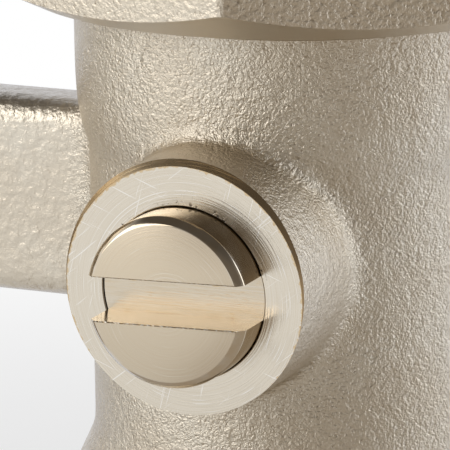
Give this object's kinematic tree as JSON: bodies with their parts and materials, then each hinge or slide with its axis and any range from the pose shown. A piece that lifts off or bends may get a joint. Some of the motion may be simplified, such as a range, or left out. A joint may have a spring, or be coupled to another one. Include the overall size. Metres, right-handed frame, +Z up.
{
  "type": "radiator bottom connection valve",
  "caption": "H-shaped forged valve that joins radiator connections to floor pipes, with slotted ball-valve spindles on its legs, union nuts on top and threaded cone-seat pipe ends below.",
  "frame": {"origin": "centre of the right-hand pipe end, on the right leg's axis, at the level of both end faces", "axes": "+X along the web from the left leg to the right leg, -Y to the front with the spindles, +Z up to the radiator"},
  "size_m": [0.0844, 0.0364, 0.0557],
  "materials": {
    "nickel_forged": "nickel-plated, fine blasted grain",
    "nickel_nut": "nickel-plated, satin with machined chamfers",
    "nickel_turned": "nickel-plated, turned",
    "nickel_spindle": "nickel-plated, bright turned",
    "chromed_ball": "chrome-plated, polished",
    "ptfe_seat": "smooth white PTFE",
    "rubber_seal": "matt black EPDM"
  },
  "bodies": {
    "valve": {"body": "nickel_forged", "right_union_sleeve": "nickel_turned", "right_flat_gasket": "rubber_seal", "right_sleeve_seal_ring": "rubber_seal", "right_upper_seat": "ptfe_seat", "right_lower_seat": "ptfe_seat", "right_thrust_washer": "ptfe_seat", "left_union_sleeve": "nickel_turned", "left_flat_gasket": "rubber_seal", "left_sleeve_seal_ring": "rubber_seal", "left_upper_seat": "ptfe_seat", "left_lower_seat": "ptfe_seat", "left_thrust_washer": "ptfe_seat"},
    "right_spindle_set": {"right_spindle": "nickel_spindle", "right_ball": "chromed_ball", "right_outer_seal_ring": "rubber_seal", "right_inner_seal_ring": "rubber_seal"},
    "right_nut_set": {"right_union_nut": "nickel_nut"},
    "left_spindle_set": {"left_spindle": "nickel_spindle", "left_ball": "chromed_ball", "left_outer_seal_ring": "rubber_seal", "left_inner_seal_ring": "rubber_seal"},
    "left_nut_set": {"left_union_nut": "nickel_nut"}
  },
  "joints": [
    {"name": "right_spindle_turn", "type": "hinge", "parent": "valve", "child": "right_spindle_set", "pos_m": [0, 0, 0.026], "axis": [0, -1, 0], "continuous": true},
    {"name": "right_nut_turn", "type": "hinge", "parent": "valve", "child": "right_nut_set", "pos_m": [0, 0, 0.047], "axis": [0, 0, 1], "continuous": true},
    {"name": "left_spindle_turn", "type": "hinge", "parent": "valve", "child": "left_spindle_set", "pos_m": [-0.05, 0, 0.026], "axis": [0, -1, 0], "continuous": true},
    {"name": "left_nut_turn", "type": "hinge", "parent": "valve", "child": "left_nut_set", "pos_m": [-0.05, 0, 0.047], "axis": [0, 0, 1], "continuous": true}
  ]
}
